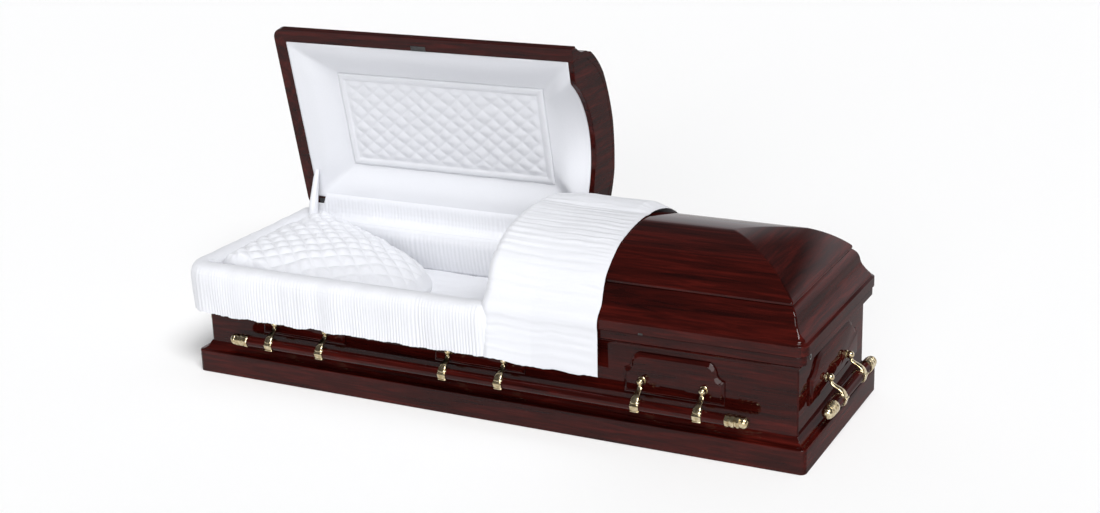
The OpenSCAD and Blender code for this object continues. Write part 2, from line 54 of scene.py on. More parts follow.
IN_X, IN_Y = BODY_X - WALL, BODY_Y - WALL
RIM_X, RIM_Y, RIM_R, RIM_Z = 1.050, 0.340, 0.026, 0.354
LID_X, LID_Y, LID_R = 1.056, 0.346, 0.036
# Height of the lid's straight edge, and width of its underside.
FASCIA, LID_RIM = 0.031, 0.046
# The lids rest just over the rim. The head lid is drawn closed and mirrored, its underside trimmed by a gap
# for the cloth.
SEAM = RIM_Z + 0.0003
CUT, HEAD_CUT, CLOTH_GAP = 0.0915, -0.0885, 0.0045
HINGE = Vector((0, LID_Y + 0.014, SEAM + 0.0145))
OPEN = math.radians(-78)
# The header boards' arched opening, and their thickness.
ARCH_HALF, ARCH_RISE, HEADER_T = LID_Y - 0.118, 0.092, 0.019
# Height of the lids' inner panels over the seam, and of the mattress's top.
LINER_DEPTH, BED_Z = 0.050, 0.230
# Handles: the bar's radius, its distance from the wall and height, the same for the arms' pivots.
BAR_R, BAR_OUT, BAR_Z, PIVOT_OUT, PIVOT_Z = 0.017, 0.056, 0.144, 0.025, 0.205
LONG_BAR, END_BAR = 0.830, 0.160
LONG_ARMS, END_ARMS = (-0.745, -0.550, -0.0975, 0.0975, 0.550, 0.745), (-0.0975, 0.0975)
PLAQUE_T, KNOB_R = 0.012, 0.0123
PLAQUE_X = 0.6475
LONG_PLAQUE, END_PLAQUE = (158, 108, 290), (225, 130, 299)

opened = Matrix.Translation(HINGE) @ Matrix.Rotation(OPEN, 4, "X") @ Matrix.Translation(-HINGE)
open_and_mirrored = opened @ Matrix.Scale(-1, 4, (1, 0, 0))


# ---- Materials ----

def new_material(name):
    m = bpy.data.materials.new(name)
    m.use_nodes = True
    t = m.node_tree
    return m, t, t.nodes["Principled BSDF"]


def node(t, kind, **values):
    n = t.nodes.new(kind)
    for k, v in values.items():
        if k in n.inputs:
            n.inputs[k].default_value = v
        else:
            setattr(n, k, v)
    return n


def ramp(t, source, stops):
    r = t.nodes.new("ShaderNodeValToRGB")
    e = r.color_ramp.elements
    while len(e) < len(stops):
        e.new(0.5)
    for el, (p, c) in zip(e, stops):
        el.position = p
        el.color = (*c, 1)
    t.links.new(source, r.inputs["Fac"])
    return r.outputs["Color"]


CHERRY = ((0.0105, 0.0013, 0.0010), (0.026, 0.0024, 0.0016), (0.064, 0.0056, 0.0036))
PINE = ((0.2, 0.11, 0.055), (0.3, 0.18, 0.095), (0.4, 0.26, 0.15))


def set_range(n, low, high, to_low, to_high):
    n.inputs["From Min"].default_value, n.inputs["From Max"].default_value = low, high
    n.inputs["To Min"].default_value, n.inputs["To Max"].default_value = to_low, to_high


def wood(name, grain, tones=CHERRY, gloss=True):
    """Wood with its grain along one axis, in dark, middle and light tones, with or without lacquer."""
    dark, mid, light = tones
    m, t, p = new_material(name)
    co = node(t, "ShaderNodeTexCoord")
    mp = node(t, "ShaderNodeMapping")
    scale = {"x": (6, 85, 85), "y": (85, 6, 85), "z": (85, 85, 6)}[grain]
    mp.inputs["Scale"].default_value = scale
    t.links.new(co.outputs["Object"], mp.inputs["Vector"])
    fine = node(t, "ShaderNodeTexNoise", Scale=1.0, Detail=7.0, Roughness=0.62, Distortion=0.6)
    t.links.new(mp.outputs["Vector"], fine.inputs["Vector"])
    mp2 = node(t, "ShaderNodeMapping")
    mp2.inputs["Scale"].default_value = tuple(s * 0.2 for s in scale)
    t.links.new(co.outputs["Object"], mp2.inputs["Vector"])
    broad = node(t, "ShaderNodeTexNoise", Scale=1.0, Detail=3.0, Roughness=0.5, Distortion=1.2)
    t.links.new(mp2.outputs["Vector"], broad.inputs["Vector"])
    mix = node(t, "ShaderNodeMath", operation="MULTIPLY_ADD")
    mix.inputs[1].default_value = 0.55
    t.links.new(fine.outputs["Fac"], mix.inputs[0])
    half = node(t, "ShaderNodeMath", operation="MULTIPLY")
    half.inputs[1].default_value = 0.45
    t.links.new(broad.outputs["Fac"], half.inputs[0])
    t.links.new(half.outputs[0], mix.inputs[2])
    col = ramp(t, mix.outputs[0], [(0.36, dark), (0.5, mid), (0.68, light)])
    t.links.new(col, p.inputs["Base Color"])
    p.inputs["Roughness"].default_value = 0.45
    p.inputs["Specular IOR Level"].default_value = 0.0
    if gloss:
        # Painted shade: faces towards the casket's ends get a thinner coat, so they reflect less and look
        # darker.
        facing = node(t, "ShaderNodeSeparateXYZ")
        t.links.new(co.outputs["Normal"], facing.inputs[0])
        size = node(t, "ShaderNodeMath", operation="ABSOLUTE")
        t.links.new(facing.outputs["X"], size.inputs[0])
        end_shade_coat = node(t, "ShaderNodeMapRange")
        set_range(end_shade_coat, 0.45, 0.95, 0.6, 0.24)
        t.links.new(size.outputs[0], end_shade_coat.inputs["Value"])
        t.links.new(end_shade_coat.outputs["Result"], p.inputs["Coat Weight"])
        p.inputs["Coat Roughness"].default_value = 0.015
        p.inputs["Coat IOR"].default_value = 1.4
    return m


def metal(name, base, edge, roughness, metallic=1.0):
    """A metal, or a paint on it, whose colour and gloss vary a little over the surface."""
    m, t, p = new_material(name)
    co = node(t, "ShaderNodeTexCoord")
    n = node(t, "ShaderNodeTexNoise", Scale=95.0, Detail=4.0)
    t.links.new(co.outputs["Object"], n.inputs["Vector"])
    t.links.new(ramp(t, n.outputs["Fac"], [(0.35, base), (0.7, edge)]), p.inputs["Base Color"])
    p.inputs["Metallic"].default_value = metallic
    r = node(t, "ShaderNodeMapRange")
    set_range(r, 0, 1, roughness * 0.8, roughness * 1.3)
    t.links.new(n.outputs["Fac"], r.inputs["Value"])
    t.links.new(r.outputs["Result"], p.inputs["Roughness"])
    return m


def cloth(name, tint, weave=620.0):
    """A fine matt weave."""
    m, t, p = new_material(name)
    co = node(t, "ShaderNodeTexCoord")
    n = node(t, "ShaderNodeTexNoise", Scale=weave, Detail=3.0)
    t.links.new(co.outputs["Object"], n.inputs["Vector"])
    shade = tuple(c * 0.95 for c in tint)
    t.links.new(ramp(t, n.outputs["Fac"], [(0.3, shade), (0.7, tint)]), p.inputs["Base Color"])
    p.inputs["Roughness"].default_value = 0.85
    p.inputs["Sheen Weight"].default_value = 0.25
    p.inputs["Specular IOR Level"].default_value = 0.25
    b = node(t, "ShaderNodeBump")
    b.inputs["Strength"].default_value = 0.12
    b.inputs["Distance"].default_value = 0.0006
    t.links.new(n.outputs["Fac"], b.inputs["Height"])
    t.links.new(b.outputs["Normal"], p.inputs["Normal"])
    return m


WOOD_X = wood("wood_grain_long", "x")
WOOD_Y = wood("wood_grain_across", "y")
PLAIN_WOOD = wood("plain_board", "x", PINE, gloss=False)
BRASS = metal("antique_brass", (0.40, 0.31, 0.17), (0.70, 0.61, 0.42), 0.2)
BLACK = metal("black_enamel", (0.012, 0.012, 0.012), (0.03, 0.03, 0.03), 0.35, metallic=0.0)
CREPE = cloth("white_crepe", (0.66, 0.67, 0.705))

by_slot = {"polished_wood": WOOD_X, "inner_wood": PLAIN_WOOD, "antique_brass": BRASS, "white_crepe": CREPE,
           "black_metal": BLACK}
for sub in frame["record"]["subparts"]:
    o = frame["nodes"][sub["node"]]
    o.data.materials.clear()
    o.data.materials.append(by_slot[sub["material_slot"]])


# ---- Mesh building ----

class Skin:
    """Collects grids and polygons of points, and makes one welded mesh of them."""

    def __init__(self):
        self.v, self.f, self.m = [], [], []

    def grid(self, pts, close_u=False, close_v=False, mats=None):
        p = np.asarray(pts, float)
        nu, nv = p.shape[:2]
        base = len(self.v)
        self.v.extend(map(tuple, p.reshape(-1, 3)))
        for i in range(nu if close_u else nu - 1):
            for j in range(nv if close_v else nv - 1):
                this, after, j2 = base + i * nv, base + (i + 1) % nu * nv, (j + 1) % nv
                self.f.append((this + j, after + j, after + j2, this + j2))
                self.m.append(mats[j] if mats is not None else 0)
        return self

    def poly(self, pts, mat=0):
        base = len(self.v)
        self.v.extend(map(tuple, pts))
        self.f.append(tuple(range(base, base + len(pts))))
        self.m.append(mat)
        return self

    def make(self, name, mats, slot, body, nodes=(), move=None, angle=32, bevel=0.0, weld=1e-5):
        """Welds the mesh, moves it, marks edges sharper than the angle, puts it on its body's empty and hides
        the parts it replaces.
        """
        me = bpy.data.meshes.new(name)
        me.from_pydata(self.v, [], self.f)
        for m in mats:
            me.materials.append(m)
        me.polygons.foreach_set("material_index", self.m)
        bm = bmesh.new()
        bm.from_mesh(me)
        bmesh.ops.remove_doubles(bm, verts=bm.verts, dist=weld)
        bmesh.ops.dissolve_degenerate(bm, edges=bm.edges, dist=weld * 0.5)
        bmesh.ops.recalc_face_normals(bm, faces=bm.faces)
        bm.to_mesh(me)
        bm.free()
        if move is not None:
            me.transform(move)
            if move.determinant() < 0:
                me.flip_normals()
        me.polygons.foreach_set("use_smooth", [True] * len(me.polygons))
        if angle:
            me.set_sharp_from_angle(angle=math.radians(angle))
        me.update()
        o = bpy.data.objects.new(name, me)
        bpy.context.scene.collection.objects.link(o)
        if bevel:
            b = o.modifiers.new("edges", "BEVEL")
            b.width, b.segments, b.limit_method, b.angle_limit = bevel, 2, "ANGLE", math.radians(angle)
            b.harden_normals = True
            b.use_clamp_overlap = True
        if body:
            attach(o, body)
        if nodes:
            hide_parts(*nodes)
        return o


def circle(n):
    """Angles of n even steps round a circle."""
    return [2 * math.pi * j / n for j in range(n)]


def arc(cx, cy, r, a, b, n):
    """Points of an arc round (cx, cy), from angle a to angle b in degrees."""
    turn = [math.radians(a + (b - a) * i / n) for i in range(n + 1)]
    return [(cx + r * math.cos(t), cy + r * math.sin(t)) for t in turn]


def bow(p, q, rise, n):
    """Points of a shallow arc from p to q, to the left of the way it runs."""
    d = (q[0] - p[0], q[1] - p[1])
    length = math.hypot(*d)
    out = []
    for i in range(n + 1):
        t = i / n
        h = 4 * rise * t * (1 - t) / length
        out.append((p[0] + d[0] * t - d[1] * h, p[1] + d[1] * t + d[0] * h))
    return out


def ring_path(hx, hy, r, k=8):
    """Points round a rectangle with round corners, from the back corner at the foot end."""
    out = []
    r = max(r, 1e-4)
    for cx, cy, a in ((1, 1, 0), (-1, 1, 90), (-1, -1, 180), (1, -1, 270)):
        for i in range(k + 1):
            t = math.radians(a + 90 * i / k)
            out.append((cx * (hx - r) + r * math.cos(t), cy * (hy - r) + r * math.sin(t)))
    return out


def ring(section, hx, hy, r, k=8, least=0.001):
    """A closed section of (inset, height) swept round a rectangle."""
    return [[(x, y, z) for x, y in ring_path(hx - s, hy - s, max(r - s, least), k)] for s, z in section]


def ring_mats(k):
    """Material of each segment of a ring path: 1, with the grain across, on the end that it belongs to."""
    out = []
    for corner in range(4):
        starts_at_end = corner % 2 == 0
        out += [int((i < k / 2) == starts_at_end) for i in range(k)]
        out.append(int(not starts_at_end))
    return out


def mm(points):
    return [(a / 1000, b / 1000) for a, b in points]


# ---- Base, body and rim ----

# Each section is (inset, height) in millimetres.
base_section = mm([(0, 0), (0, 60), (0, 73)] + arc(3, 73, 3, 180, 90, 3)
                  + [(7, 76)] + arc(7, 99, 23, -90, -18, 9)
                  + [(35, 102), (35, 40), (85, 40), (85, 24), (24, 24), (24, 0)])
wall_section = mm([(0, 40), (0, 328), (20, 328), (20, 40)])
rim_section = mm([(25, 300)] + arc(0, 300, 25, 0, 90, 8) + [(0, 328), (0, 340), (0, 351)]
                 + arc(3, 351, 3, 180, 90, 3) + [(45, 354), (45, 328), (25, 328)])
CORNER_STEPS = 8


def moulding(name, section, half_x, half_y, r, nodes, bevel):
    """A section swept round the casket. The grain turns at the mitres."""
    rows = ring(section, half_x, half_y, r, CORNER_STEPS)
    Skin().grid(rows, True, True, ring_mats(CORNER_STEPS)).make(
        name, [WOOD_X, WOOD_Y], "polished_wood", "casket", nodes, bevel=bevel)


moulding("base_moulding", base_section, BASE_X, BASE_Y, BASE_R, ["base_plinth"], 0.0015)
moulding("body_boards", wall_section, BODY_X, BODY_Y, BODY_R,
         ["front_wall", "back_wall", "head_wall", "foot_wall"], 0.001)
moulding("top_rim_moulding", rim_section, RIM_X, RIM_Y, RIM_R, ["top_rim"], 0.001)


# ---- Lids ----

# The lid's outer and inner faces as (inset, height over the seam): edge, cove, step, slope and crown.
outer = mm([(0, 0), (0, 15), (0, 31), (10, 35), (12, 40)] + bow((14, 42), (43, 95), -6, 8)
           + bow((43, 95), (66, 127), 4, 6) + [(62, 128), (62, 135)]
           + bow((64, 138), (168, 210), 6, 12) + bow((168, 210), (346, 240), 6, 14))
inner = mm([(46, -1), (46, 31), (73.2, 105), (94.8, 127), (130, 162), (175, 191), (240, 213), (346, 222)])


def lid_rows(section, cut, k=CORNER_STEPS, least=0.007):
    """A section swept along the back, round the end and along the front, from the cut and back to it."""
    rows = []
    for s, z in section:
        hx, hy = LID_X - s, LID_Y - s
        r = min(max(LID_R - s, least), max(hy, 1e-5))
        row = [(cut, hy)]
        for cy, a in ((1, 90), (-1, 0)):
            for i in range(k + 1):
                t = math.radians(a - 90 * i / k)
                row.append((hx - r + r * math.cos(t), cy * (hy - r) + r * math.sin(t)))
        row.append((cut, -hy))
        rows.append([(x, y, SEAM + z) for x, y in row])
    return rows


def lid(name, cut, low, nodes, body, move=None):
    """A hollow lid. Its underside is cut off below the height low."""
    k = CORNER_STEPS
    mats = [1 if k / 2 < j < k / 2 + k + 3 else 0 for j in range(2 * k + 3)]
    a, b = (lid_rows([(s, max(z, low)) for s, z in face], cut) for face in (outer, inner))
    sk = Skin().grid(a, mats=mats).grid([a[0], b[0]], mats=mats).grid(b, mats=mats)
    # The cut's end face: the outer section there and back, then the inner one back again.
    sk.poly([r[0] for r in a] + [r[-1] for r in reversed(a[:-1])]
            + [r[-1] for r in b] + [r[0] for r in reversed(b[:-1])], 1)
    sk.make(name, [WOOD_X, WOOD_Y], "polished_wood", body, nodes, move, angle=24, bevel=0.0012)


lid("foot_lid_shell", CUT, 0, ["foot_lid"], "foot_lid")
lid("head_lid_shell", HEAD_CUT, CLOTH_GAP, ["head_lid"], "head_lid", open_and_mirrored)

arch_r = (ARCH_HALF ** 2 + ARCH_RISE ** 2) / (2 * ARCH_RISE)


def arch_z(y):
    """Height of the header board's arch over the seam, at a distance y from the middle."""
    return math.sqrt(arch_r ** 2 - y * y) + ARCH_RISE - arch_r if abs(y) < ARCH_HALF else 0.0


def header(name, cut, nodes, body, move=None, steps=48):
    """The arched board that closes a lid's hollow at its cut end, flush with the shell's end."""
    foot = LID_Y - inner[0][0]
    top = inner[1:]
    ol = [(-foot, CLOTH_GAP)] + [(-(LID_Y - s), z) for s, z in top]
    ol += [(LID_Y - s, z) for s, z in reversed(top[:-1])] + [(foot, CLOTH_GAP)]
    arch = [ARCH_HALF * (1 - 2 * i / steps) for i in range(steps + 1)]
    ol += [(y, max(CLOTH_GAP, arch_z(y))) for y in arch]
    sk = Skin()
    x0, x1 = cut + 0.0002, cut + HEADER_T
    sk.poly([(x0, y, SEAM + z) for y, z in ol])
    sk.poly([(x1, y, SEAM + z) for y, z in ol])
    sk.grid([[(x, y, SEAM + z) for x in (x0, x1)] for y, z in ol + ol[:1]])
    sk.make(name, [WOOD_Y], "polished_wood", body, nodes, move, angle=30, bevel=0.0015)


header("foot_header_board", CUT, ["foot_header"], "foot_lid")
header("head_header_board", HEAD_CUT, ["head_header"], "head_lid", open_and_mirrored)


# ---- Plaques ----

def plaque_half(size, grow):
    """Half a plaque's outline in millimetres: from the lower middle, up the side and over the ogee corner."""
    w, t, top = size[0] + grow, size[1] + grow * 0.6, size[2] + grow
    low, drop = 160 - grow, 54
    m = (w + t) / 2
    return ([(0, low), (w, low)] + bow((w, top - drop), (m, top - drop / 2), 6, 8)
            + bow((m, top - drop / 2), (t, top), -6, 8))


def on_wall(side, along=0.0):
    """Places a piece drawn for the front wall, with that wall's face at y = 0, on any of the four walls."""
    turn = {"front": 0, "foot": 90, "back": 180, "head": -90}[side]
    out = BODY_Y if side in ("front", "back") else BODY_X
    return Matrix.Rotation(math.radians(turn), 4, "Z") @ Matrix.Translation((along, -out, 0))


def plaque(name, side, along, size):
    """A raised board with a bevelled edge. Its size in mm: half its width below and above, and its top."""
    rows = []
    for grow, out in ((0, 0), (0, 4.5), (-0.8, 5.4), (-2.2, 5.8), (-9, 10.6), (-10.2, 11.4), (-11.6, 11.8)):
        half = plaque_half(size, grow)
        ol = half + [(-x, z) for x, z in reversed(half[1:])]
        rows.append([(x / 1000, -out / 1000, z / 1000) for x, z in ol])
    grain = WOOD_X if side in ("front", "back") else WOOD_Y
    sk = Skin().grid(rows, False, True).poly(rows[-1])
    sk.make(name + "_board", [grain], "polished_wood", "casket", [name], on_wall(side, along), angle=25)


for side, sign in (("front", 1), ("back", -1)):
    for end, x in (("head", -PLAQUE_X), ("centre", 0.0), ("foot", PLAQUE_X)):
        plaque(f"{side}_plaque_{end}", side, sign * x, LONG_PLAQUE)
plaque("head_plaque", "head", 0, END_PLAQUE)
plaque("foot_plaque", "foot", 0, END_PLAQUE)


# ---- Handles ----

def lathe(sk, profile, n, move):
    """Revolves (distance along X, radius) points round the X axis, in n steps, and closes open ends."""
    rows = [[tuple(move @ Vector((x, r * math.cos(t), r * math.sin(t)))) for t in circle(n)]
            for x, r in profile]
    sk.grid(rows, False, True)
    for row in (rows[0], rows[-1]):
        if (Vector(row[0]) - Vector(row[n // 2])).length > 1e-4:
            sk.poly(row)


def bar_centre(x=0.0):
    return Matrix.Translation((x, -BAR_OUT, BAR_Z))


def knob(half_from, half_to, n=7):
    """Profile of a slice of the round boss, from one distance off its middle to another."""
    out = [(half_from, 0.004)]
    for i in range(n + 1):
        x = half_from + (half_to - half_from) * i / n
        out.append((x, math.sqrt(max(KNOB_R ** 2 - x * x, 1e-8))))
    return out + [(half_to, 0.0)]


def handle_lug(sk, x):
    """A lug: a rimmed round plate on the plaque, and the round boss's two outer slices on a forked stem."""
    pivot = Matrix.Translation((x, -PIVOT_OUT, PIVOT_Z))
    lathe(sk, knob(0.0053, 0.0117), 32, pivot)
    lathe(sk, [(-a, r) for a, r in knob(0.0053, 0.0117)], 32, pivot)

    def oval(middle, wide, high, out, n):
        return [(middle + wide * math.cos(t), -out, PIVOT_Z + high * math.sin(t)) for t in circle(n)]

    for sign in (-1, 1):
        stem = (PLAQUE_T + 0.0005, PIVOT_OUT - 0.006)
        sk.grid([oval(x + sign * 0.0079, 0.0026, 0.0072, out, 16) for out in stem], False, True)
    rim = ((0.0132, 0.0), (0.0132, 0.0026), (0.0122, 0.0038), (0.0098, 0.0040), (0.0086, 0.0024))
    plate = [oval(x, r, r, PLAQUE_T + out, 36) for r, out in rim]
    sk.grid(plate, False, True).poly(plate[-1])


def signed_power(value, power):
    return math.copysign(abs(value) ** power, value)


def handle_arm(sk, x):
    """One arm: the round boss's middle slice, a neck that widens as it curves out, and a stepped clasp."""
    half_eye, bore = 0.005, 0.0043
    slice_x = [half_eye * i / 5 for i in range(-5, 6)]
    eye = [(-half_eye, bore)] + [(a, math.sqrt(KNOB_R ** 2 - a ** 2)) for a in slice_x] + [(half_eye, bore)]
    lathe(sk, eye, 32, Matrix.Translation((x, -PIVOT_OUT, PIVOT_Z)))
    # The neck's middle line is a Bezier curve of (distance from the wall, height).
    n, rows = 22, []
    start, end = Vector((PIVOT_OUT + 0.002, PIVOT_Z - 0.006)), Vector((BAR_OUT + 0.0145, BAR_Z + 0.004))
    pull_a, pull_b = Vector((PIVOT_OUT + 0.001, PIVOT_Z - 0.034)), Vector((BAR_OUT + 0.016, BAR_Z + 0.036))
    for i in range(n + 1):
        t = i / n
        c = start * (1 - t) ** 3 + pull_a * 3 * t * (1 - t) ** 2 + pull_b * 3 * t * t * (1 - t) + end * t ** 3
        d = (pull_a - start) * (1 - t) ** 2 + (pull_b - pull_a) * 2 * t * (1 - t) + (end - pull_b) * t * t
        d.normalize()
        front = Vector((-d.y, d.x))
        half = float(np.interp(t, [0, 0.09, 0.13, 0.3, 0.65, 0.9, 1.0],
                               [0.0049, 0.0049, 0.0082, 0.0090, 0.0120, 0.0134, 0.0130]))
        thick = float(np.interp(t, [0, 0.16, 0.5, 1.0], [0.0058, 0.0046, 0.0052, 0.0050]))
        row = []
        for a in circle(24):
            u = half * signed_power(math.cos(a), 0.6)
            w = thick * signed_power(math.sin(a), 0.85) * (1 if math.sin(a) > 0 else 0.8)
            q = c + front * w
            row.append((x + u, -q.x, q.y))
        rows.append(row)
    sk.grid(rows, False, True).poly(rows[-1])
    clasp = [(-0.0135, 0.0171), (-0.0135, 0.0200), (-0.0125, 0.0210), (-0.0075, 0.0218), (0.0075, 0.0218),
             (0.0125, 0.0210), (0.0135, 0.0200), (0.0135, 0.0171)]
    lathe(sk, clasp, 40, bar_centre(x))
    # Two raised ridges across the clasp's outer face.
    for angle, size in ((10, 0.0034), (-42, 0.0028)):
        t = math.radians(angle)
        ridge = bar_centre(x) @ Matrix.Translation((0, -0.0212 * math.cos(t), 0.0212 * math.sin(t)))
        left = [(-0.0136, 0.0), (-0.0136, size * 0.6), (-0.012, size)]
        lathe(sk, left + [(-a, r) for a, r in reversed(left)], 16, ridge)


# A turned tip: three broad rings with grooves between them, and a rounded end.
tip_profile = ([(0, 0.0168), (0.0, 0.0192), (0.0018, 0.0205), (0.0115, 0.0205), (0.0135, 0.0176),
                (0.0175, 0.0176), (0.0195, 0.0203), (0.0285, 0.0203), (0.0305, 0.0172), (0.0345, 0.0172),
                (0.0365, 0.0198), (0.0440, 0.0198), (0.0460, 0.0168), (0.0490, 0.0166)]
               + [(0.0530 + 0.0168 * math.sin(a), 0.0183 * math.cos(a) ** 0.8)
                  for a in map(math.radians, range(-9, 90, 9))]
               + [(0.0698, 0.0)])
# Where each side's two tips point: the left one as seen from outside that side, then the right one.
tip_ends = {"front": ("head", "foot"), "back": ("foot", "head"),
            "head": ("back", "front"), "foot": ("front", "back")}


def handle(side):
    """One side's handle: lugs on the wall, and arms, bar and tips that swing."""
    long_side = side in ("front", "back")
    half, places = (LONG_BAR, LONG_ARMS) if long_side else (END_BAR, END_ARMS)
    body, wall = f"{side}_handle", on_wall(side)
    arms, lugs, bar = Skin(), Skin(), Skin()
    for x in places:
        handle_arm(arms, x)
        handle_lug(lugs, x)
    lugs.make(f"{side}_handle_lugs", [BRASS], "antique_brass", "casket", [f"{side}_lugs"], wall, angle=38)
    arms.make(f"{side}_handle_arms", [BRASS], "antique_brass", body, [f"{side}_arms"], wall, angle=38)
    lathe(bar, [(-half, BAR_R), (half, BAR_R)], 48, bar_centre())
    grain = WOOD_X if long_side else WOOD_Y
    bar.make(f"{side}_handle_bar", [grain], "polished_wood", body, [f"{side}_bar"], wall)
    for turn, end in zip((math.pi, 0.0), tip_ends[side]):
        tip = Skin()
        out = Matrix.Rotation(turn, 4, "Z") @ Matrix.Translation((half, 0, 0))
        lathe(tip, tip_profile, 40, bar_centre() @ out)
        tip.make(f"{side}_bar_tip_{end}", [BRASS], "antique_brass", body, [f"{side}_tip_{end}"],
                 wall, angle=50)


for side in ("front", "back", "head", "foot"):
    handle(side)


# ---- Cloth ----

def wave(x, y=0.0, z=0.0):
    return noise.noise(Vector((x, y, z)))


def crepe_piece(sk, name, body, nodes, move=None, angle=0, weld=1e-5):
    return sk.make(name, [CREPE], "white_crepe", body, nodes, move, angle=angle, weld=weld)


def closed_below(rows, corners, low):
    """A grid of points closed by a flat face at the height low and by four sides."""
    sk = Skin().grid(rows)
    sk.poly([(x, y, low) for x, y in corners])
    sides = ([r[0] for r in rows], rows[-1], [r[-1] for r in reversed(rows)], rows[0][::-1])
    for k, side in enumerate(sides):
        (ax, ay), (bx, by) = corners[k], corners[(k + 1) % 4]
        sk.poly(side + [(bx, by, low), (ax, ay, low)])
    return sk


def cove_side(ends, low, arched, along, across=26):
    """One side of a lid's cove: ends holds its outer and inner corner at each end."""
    (oa, ia), (ob, ib) = ends
    rows = []
    for i in range(across + 1):
        t = i / across
        row = []
        for j in range(along + 1):
            u = j / along
            x = (oa[0] + (ob[0] - oa[0]) * u) * (1 - t) + (ia[0] + (ib[0] - ia[0]) * u) * t
            y = (oa[1] + (ob[1] - oa[1]) * u) * (1 - t) + (ia[1] + (ib[1] - ia[1]) * u) * t
            edge = low + 0.001
            if arched:
                edge = max(edge, arch_z(oa[1] + (ob[1] - oa[1]) * u) + 0.001)
            ease = t * t * (3 - 2 * t)
            z = edge + (LINER_DEPTH + 0.003 - edge) * (0.45 * ease + 0.55 * t)
            z -= 0.007 * math.sin(math.pi * t) ** 2 * min(1, 6 * min(u, 1 - u) + 0.15)
            z += 0.0012 * wave(x * 9, y * 9, 3)
            row.append((x, y, SEAM + z))
        rows.append(row)
    return rows


def liner(name, cut, low, nodes, body, move=None):
    """A lid's padded cove. Its cut side rises to the header's arch. Returns the place left for the panel."""
    gap = 0.0004
    x0, x1, y = cut + HEADER_T + gap, LID_X - LID_RIM - gap, LID_Y - LID_RIM - gap
    px0, px1, py = x0 + 0.130, x1 - 0.155, y - 0.125
    corners = [((x0, y), (px0, py)), ((x1, y), (px1, py)), ((x1, -y), (px1, -py)), ((x0, -y), (px0, -py))]
    sk = Skin()
    for c in range(4):
        sk.grid(cove_side((corners[c], corners[(c + 1) % 4]), low, c == 3, 60 if c in (0, 2) else 36))
    o = crepe_piece(sk, name, body, nodes, move, angle=50, weld=2e-4)
    sol = o.modifiers.new("thickness", "SOLIDIFY")
    sol.thickness, sol.offset = 0.006, 1
    return px0, px1, py


def tufts(x, y, inward):
    """Height of the diamond tufts on the head lid's panel. It fades out over the inward distance."""
    long_step, wide_step = 0.066, 0.054
    u = x / long_step + 0.12 * wave(x * 11, y * 11, 1)
    v = y / wide_step + 0.12 * wave(x * 11, y * 11, 4)
    ridge = (abs(math.sin(math.pi * (u + v))) * abs(math.sin(math.pi * (u - v)))) ** 0.6
    return 0.002 - 0.0040 * ridge * min(1, inward / 0.02) + 0.0022 * wave(x * 24, y * 24, 9)


def panel(name, place, nodes, body, tufted, move=None):
    """The flat panel in the middle of the cove. The head lid's is tufted inside a plain border."""
    x0, x1, half_y = place
    step, border = 0.0035, 0.024
    nx, ny = int((x1 - x0) / step), int(2 * half_y / step)
    rows = []
    for i in range(nx + 1):
        x = x0 + (x1 - x0) * i / nx
        row = []
        for j in range(ny + 1):
            y = -half_y + 2 * half_y * j / ny
            e = min(x - x0, x1 - x, y + half_y, half_y - y)
            z = LINER_DEPTH + 0.003 - 0.003 * min(1, e / 0.005) - 0.002 * max(0, min(1, (border - e) / 0.01))
            z += tufts(x, y, e - border) if tufted and e > border else -0.0015 * wave(x * 12, y * 12, 5)
            row.append((x, y, SEAM + z))
        rows.append(row)
    corners = [(x0, -half_y), (x1, -half_y), (x1, half_y), (x0, half_y)]
    sk = closed_below(rows, corners, SEAM + (LINER_DEPTH + 0.014))
    o = crepe_piece(sk, name, body, nodes, move, angle=60)


head_place = liner("head_lid_cove", HEAD_CUT, CLOTH_GAP, ["head_lid_lining"], "head_lid", open_and_mirrored)
panel("head_lid_tufted_panel", head_place, ["head_lid_panel"], "head_lid", True, open_and_mirrored)
foot_place = liner("foot_lid_cove", CUT, 0.001, ["foot_lid_lining"], "foot_lid")
panel("foot_lid_plain_panel", foot_place, ["foot_lid_panel"], "foot_lid", False)


def strip_path(points, step):
    """Even points along a polyline in plan: each with the normal to its right and the length so far."""
    corners = [Vector(q) for q in points]
    line = []
    for a, b in zip(corners, corners[1:]):
        n = max(1, round((b - a).length / step))
        line += [a.lerp(b, i / n) for i in range(n)]
    line.append(corners[-1])
    out, length = [], 0.0
    for i, q in enumerate(line):
        d = (line[min(i + 1, len(line) - 1)] - line[max(i - 1, 0)]).normalized()
        if i:
            length += (q - line[i - 1]).length
        out.append((q, Vector((d.y, -d.x)), length))
    return out


def pleats(s, seed, fine=0.011, wide=0.06):
    """Irregular gathers along a length s: from -1 to 1."""
    w = s + 0.006 * wave(s * 18, seed, 0) + 0.02 * wave(s * 4, seed, 4)
    small = 0.6 * math.sin(2 * math.pi * w / fine) * (0.55 + 0.45 * wave(s * 22, seed, 7))
    return small + 0.7 * wave(s / wide, seed, 2)


def dense(points, step):
    """A polyline with points added about every step."""
    out = []
    for (a, b), (c, d) in zip(points, points[1:]):
        n = max(1, round(math.hypot(c - a, d - b) / step))
        out += [(a + (c - a) * i / n, b + (d - b) * i / n) for i in range(n)]
    return out + [points[-1]]


def cloth_sheet(name, rows, thick, body, nodes):
    """A closed thin sheet from a grid: the shown layer, and one set in along the normals."""
    p = np.asarray(rows, float)
    du = np.gradient(p, axis=0)
    dv = np.gradient(p, axis=1)
    nrm = np.cross(du, dv)
    nrm /= np.maximum(np.linalg.norm(nrm, axis=2, keepdims=True), 1e-12)
    q = p - nrm * thick
    sk = Skin().grid(p).grid(q[:, ::-1])
    sk.grid([p[0], q[0]]).grid([q[-1], p[-1]]).grid([p[:, 0], q[:, 0]]).grid([q[:, -1], p[:, -1]])
    o = crepe_piece(sk, name, body, nodes, angle=80, weld=1e-6)
    return o


